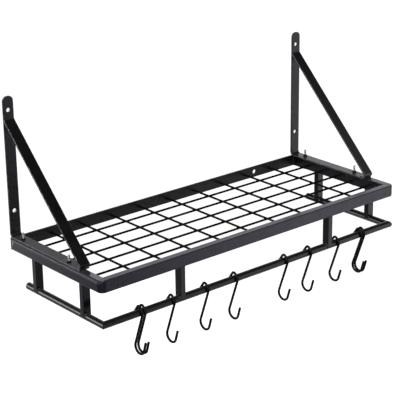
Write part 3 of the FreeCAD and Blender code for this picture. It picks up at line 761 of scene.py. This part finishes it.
def hexagon_nut():
    """Nut: six flats cut off by a cone at both faces, and a bore that opens to both faces."""
    columns = 96
    angle = np.arange(columns) * math.tau / columns
    flats = (nut_high[1] - nut_low[1]) - (bolt_places[:, 1].max() - bolt_places[:, 1].min())
    hexagon = flats / 2 / np.cos((angle % (math.pi / 3)) - math.pi / 6)
    tall = nut_high[2] - nut_low[2]
    level = np.concatenate([
        np.linspace(0.0, 0.5, 6),
        np.linspace(0.6, tall - 0.6, 6),
        np.linspace(tall - 0.5, tall, 6),
    ])
    cone = flats / 2 * 0.95 + 1.75 * np.minimum(level, tall - level)[:, None]
    outside = np.minimum(hexagon, cone)
    bore = np.array([2.35, 1.8, 1.8, 2.35])[:, None] * np.ones(columns)
    bore_level = np.array([tall, tall - 0.5, 0.5, 0.0])
    return turned(np.concatenate([outside, bore]), np.concatenate([level, bore_level])[:, None], columns)


def make_fasteners():
    places = bolt_places[:, None, None]
    bolts = make_piece(
        "bracket_bolts_threaded",
        [(places + bolt_head(), False), (places + bolt_thread(), False)],
        bolt_zinc,
    )
    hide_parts("bracket_bolts")
    lift = Z_AXIS * nut_low[2]
    nut_grid = places + lift + hexagon_nut()
    nuts = make_piece("bracket_nuts_chamfered", [(nut_grid, True)], nut_zinc)
    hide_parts("bracket_nuts")


def make_end_plugs():
    """Moulded plugs turned about the tube's axis.
    Each has a ribbed stem, a flange with a round edge, a dished face and a gate mark."""
    round_edge = 0.75
    dish_depth = 0.35
    low, high = span("tube_end_plugs")
    flange = (high[2] - low[2]) / 2
    depth = high[1] - low[1]
    edge = np.linspace(-math.pi / 2, math.pi / 2, 11)
    inner = flange - round_edge
    dish = np.linspace(inner, 0.0, 18)
    ribs = np.linspace(0.6, depth - 1.6, 40)
    stem = tube_radius - 1.4 + 0.12 * np.cos(ribs * math.tau / 1.6)
    radius = np.concatenate([[0.0, 3.6], stem, [inner], inner + round_edge * np.cos(edge), dish])
    gate = dish_depth * np.exp(-(dish / 0.8) ** 2)
    face = depth - dish_depth * (1.0 - (dish / flange) ** 2) + gate
    round_level = depth - round_edge + round_edge * np.sin(edge)
    height = np.concatenate([[0.0, 0.0], ribs, [depth - 2 * round_edge], round_level, face])
    shape = turned(radius[:, None], height[:, None], 40)
    shape = np.stack([shape[..., 0], shape[..., 2], -shape[..., 1]], axis=-1)
    feet = np.array([[sign * tube_side, low[1], tube_axis[2]] for sign in SIDES])[:, None, None]
    plugs = make_piece("tube_end_plugs_moulded", [(feet + shape, False)], end_plug_plastic)
    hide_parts("tube_end_plugs")


make_post_welds()
make_frame_welds()
make_tube_welds()
make_bracket_welds()
make_wire_end_welds()
make_crossing_welds()
make_fasteners()
make_end_plugs()


# Studio, in metres

FLOOR_LEVEL = -1.25
FLOOR_RADIUS = 2.2
RING_RADIUS = 20.0
STAGE_COLUMNS = 96
STAGE_WHITE = (0.86, 0.86, 0.86)

# Azimuth from +Y towards +X, and the stretch of the cosine to it that is carried to two shares of white

SWEEP = (55, (-0.06, 0.14, 0.06, 1.0))
GAP = (88, (0.85, 0.94, 1.0, 0.2))


def far_side(tree):
    """Share of the white sweep in reflections: full beyond the rack, falling off towards the camera's side.
    A dark gap in it stands to the rack's right, so that edges turned that way are drawn dark."""
    place = tree.nodes.new("ShaderNodeTexCoord").outputs["Object"]
    level = new_node(tree, "ShaderNodeVectorMath", operation="MULTIPLY")
    level.inputs[1].default_value = (1.0, 1.0, 0.0)
    tree.links.new(place, level.inputs[0])
    ahead = new_node(tree, "ShaderNodeVectorMath", operation="NORMALIZE")
    tree.links.new(level.outputs[0], ahead.inputs[0])
    shares = []
    for azimuth, ramp in (SWEEP, GAP):
        turn = math.radians(azimuth)
        facing = new_node(tree, "ShaderNodeVectorMath", operation="DOT_PRODUCT")
        facing.inputs[1].default_value = (math.sin(turn), math.cos(turn), 0.0)
        tree.links.new(ahead.outputs[0], facing.inputs[0])
        shares.append(spread_over(tree, facing.outputs["Value"], *ramp))
    return calculate(tree, "MULTIPLY", *shares)


def pale_surface(name, glow, mirrored):
    """Pale stage finish, lifted by the glow where it is seen and clear from behind.
    In reflections it is lifted by the mirrored share, on the far side of the rack."""
    made, tree = new_material(name)
    paint = tree.nodes.new("ShaderNodeBsdfDiffuse")
    paint.inputs["Color"].default_value = (*STAGE_WHITE, 1.0)
    ray = tree.nodes.new("ShaderNodeLightPath").outputs
    seen = calculate(tree, "MAXIMUM", ray["Is Camera Ray"], ray["Is Transmission Ray"])
    reflected = calculate(tree, "MULTIPLY", ray["Is Glossy Ray"], far_side(tree))
    strength = calculate(tree, "MULTIPLY_ADD", reflected, mirrored)
    tree.links.new(calculate(tree, "MULTIPLY", seen, glow), strength.node.inputs[2])
    light = tree.nodes.new("ShaderNodeEmission")
    tree.links.new(strength, light.inputs["Strength"])
    both = tree.nodes.new("ShaderNodeAddShader")
    tree.links.new(paint.outputs[0], both.inputs[0])
    tree.links.new(light.outputs[0], both.inputs[1])
    clear = tree.nodes.new("ShaderNodeBsdfTransparent")
    side = tree.nodes.new("ShaderNodeMixShader")
    tree.links.new(tree.nodes.new("ShaderNodeNewGeometry").outputs["Backfacing"], side.inputs[0])
    tree.links.new(both.outputs[0], side.inputs[1])
    tree.links.new(clear.outputs[0], side.inputs[2])
    out = tree.nodes.new("ShaderNodeOutputMaterial")
    tree.links.new(side.outputs[0], out.inputs["Surface"])
    return made


def stage_piece(name, profile, material):
    """A stage surface turned about the upright axis from points of radius and height, in metres."""
    radius, height = np.array(profile).T
    points = turned(radius[:, None], height[:, None], STAGE_COLUMNS)
    mesh = bpy.data.meshes.new(name)
    mesh.from_pydata(points.reshape(-1, 3), [], quads_of(len(profile), STAGE_COLUMNS, False).tolist())
    mesh.shade_smooth()
    mesh.materials.append(material)
    made = bpy.data.objects.new(name, mesh)
    bpy.context.scene.collection.objects.link(made)


def make_stage():
    """A round floor under the rack and a wide ring about it, both white to the camera."""
    floor = [(FLOOR_RADIUS, FLOOR_LEVEL), (1.0, FLOOR_LEVEL), (0.0, FLOOR_LEVEL)]
    ring = [(RING_RADIUS, RING_RADIUS * slope) for slope in (0.5, 0.0, -0.6)]
    stage_piece("pale_floor", floor, pale_surface("pale_floor_paint", glow=0.95, mirrored=0.15))
    stage_piece("pale_backdrop", ring, pale_surface("pale_backdrop_paint", glow=1.0, mirrored=1.0))


def soft_lamp(name, place, aim, width, height, power, spread=180):
    lamp = bpy.data.lights.new(name, "AREA")
    lamp.shape = "RECTANGLE"
    lamp.size = width
    lamp.size_y = height
    lamp.energy = power
    lamp.spread = math.radians(spread)
    made = bpy.data.objects.new(name, lamp)
    made.location = place
    made.rotation_euler = (Vector(aim) - Vector(place)).to_track_quat("-Z", "Y").to_euler()
    made.visible_camera = False
    bpy.context.scene.collection.objects.link(made)


def make_lights():
    soft_lamp(
        "key_softbox", place=(-1.9, -1.9, 2.0), aim=(0, -0.13, -0.1),
        width=2.2, height=2.2, power=28, spread=70,
    )
    soft_lamp(
        "side_strip", place=(-1.83, 1.61, 0.12), aim=(-0.34, -0.14, -0.22),
        width=1.0, height=0.9, power=13.5,
    )
    world = bpy.data.worlds.new("studio_room")
    world.use_nodes = True
    world.node_tree.nodes["Background"].inputs["Color"].default_value = (0.09, 0.092, 0.1, 1)
    bpy.context.scene.world = world


# Camera, fitted to edges of the photograph: degrees, metres and the photograph's pixels

AZIMUTH = -40.17
ELEVATION = 20.08
ROLL = -0.8
TARGET = (-0.03235, -0.14, -0.11055)
DISTANCE = 2.5271
FOCAL_PIXELS = 1395.84
PHOTO_PIXELS = 400
SENSOR_WIDTH = 36.0


def make_camera():
    """Camera at the photograph's angle: turned round the target by azimuth, elevation and a slight roll."""
    azimuth, elevation, roll = np.radians([AZIMUTH, ELEVATION, ROLL])
    back = np.array([
        math.sin(azimuth) * math.cos(elevation),
        -math.cos(azimuth) * math.cos(elevation),
        math.sin(elevation),
    ])
    level = np.array([math.cos(azimuth), math.sin(azimuth), 0.0])
    upward = np.cross(back, level)
    right = math.cos(roll) * level + math.sin(roll) * upward
    above = -math.sin(roll) * level + math.cos(roll) * upward
    place = np.array(TARGET) + back * DISTANCE
    turn = Matrix(np.stack([right, above, back], axis=-1).tolist()).to_4x4()
    lens = bpy.data.cameras.new("photo_camera")
    lens.sensor_width = SENSOR_WIDTH
    lens.lens = FOCAL_PIXELS / PHOTO_PIXELS * SENSOR_WIDTH
    made = bpy.data.objects.new("photo_camera", lens)
    made.matrix_world = Matrix.Translation(place.tolist()) @ turn
    bpy.context.scene.collection.objects.link(made)
    bpy.context.scene.camera = made


make_stage()
make_lights()
make_camera()
bpy.context.scene.view_settings.view_transform = "Standard"
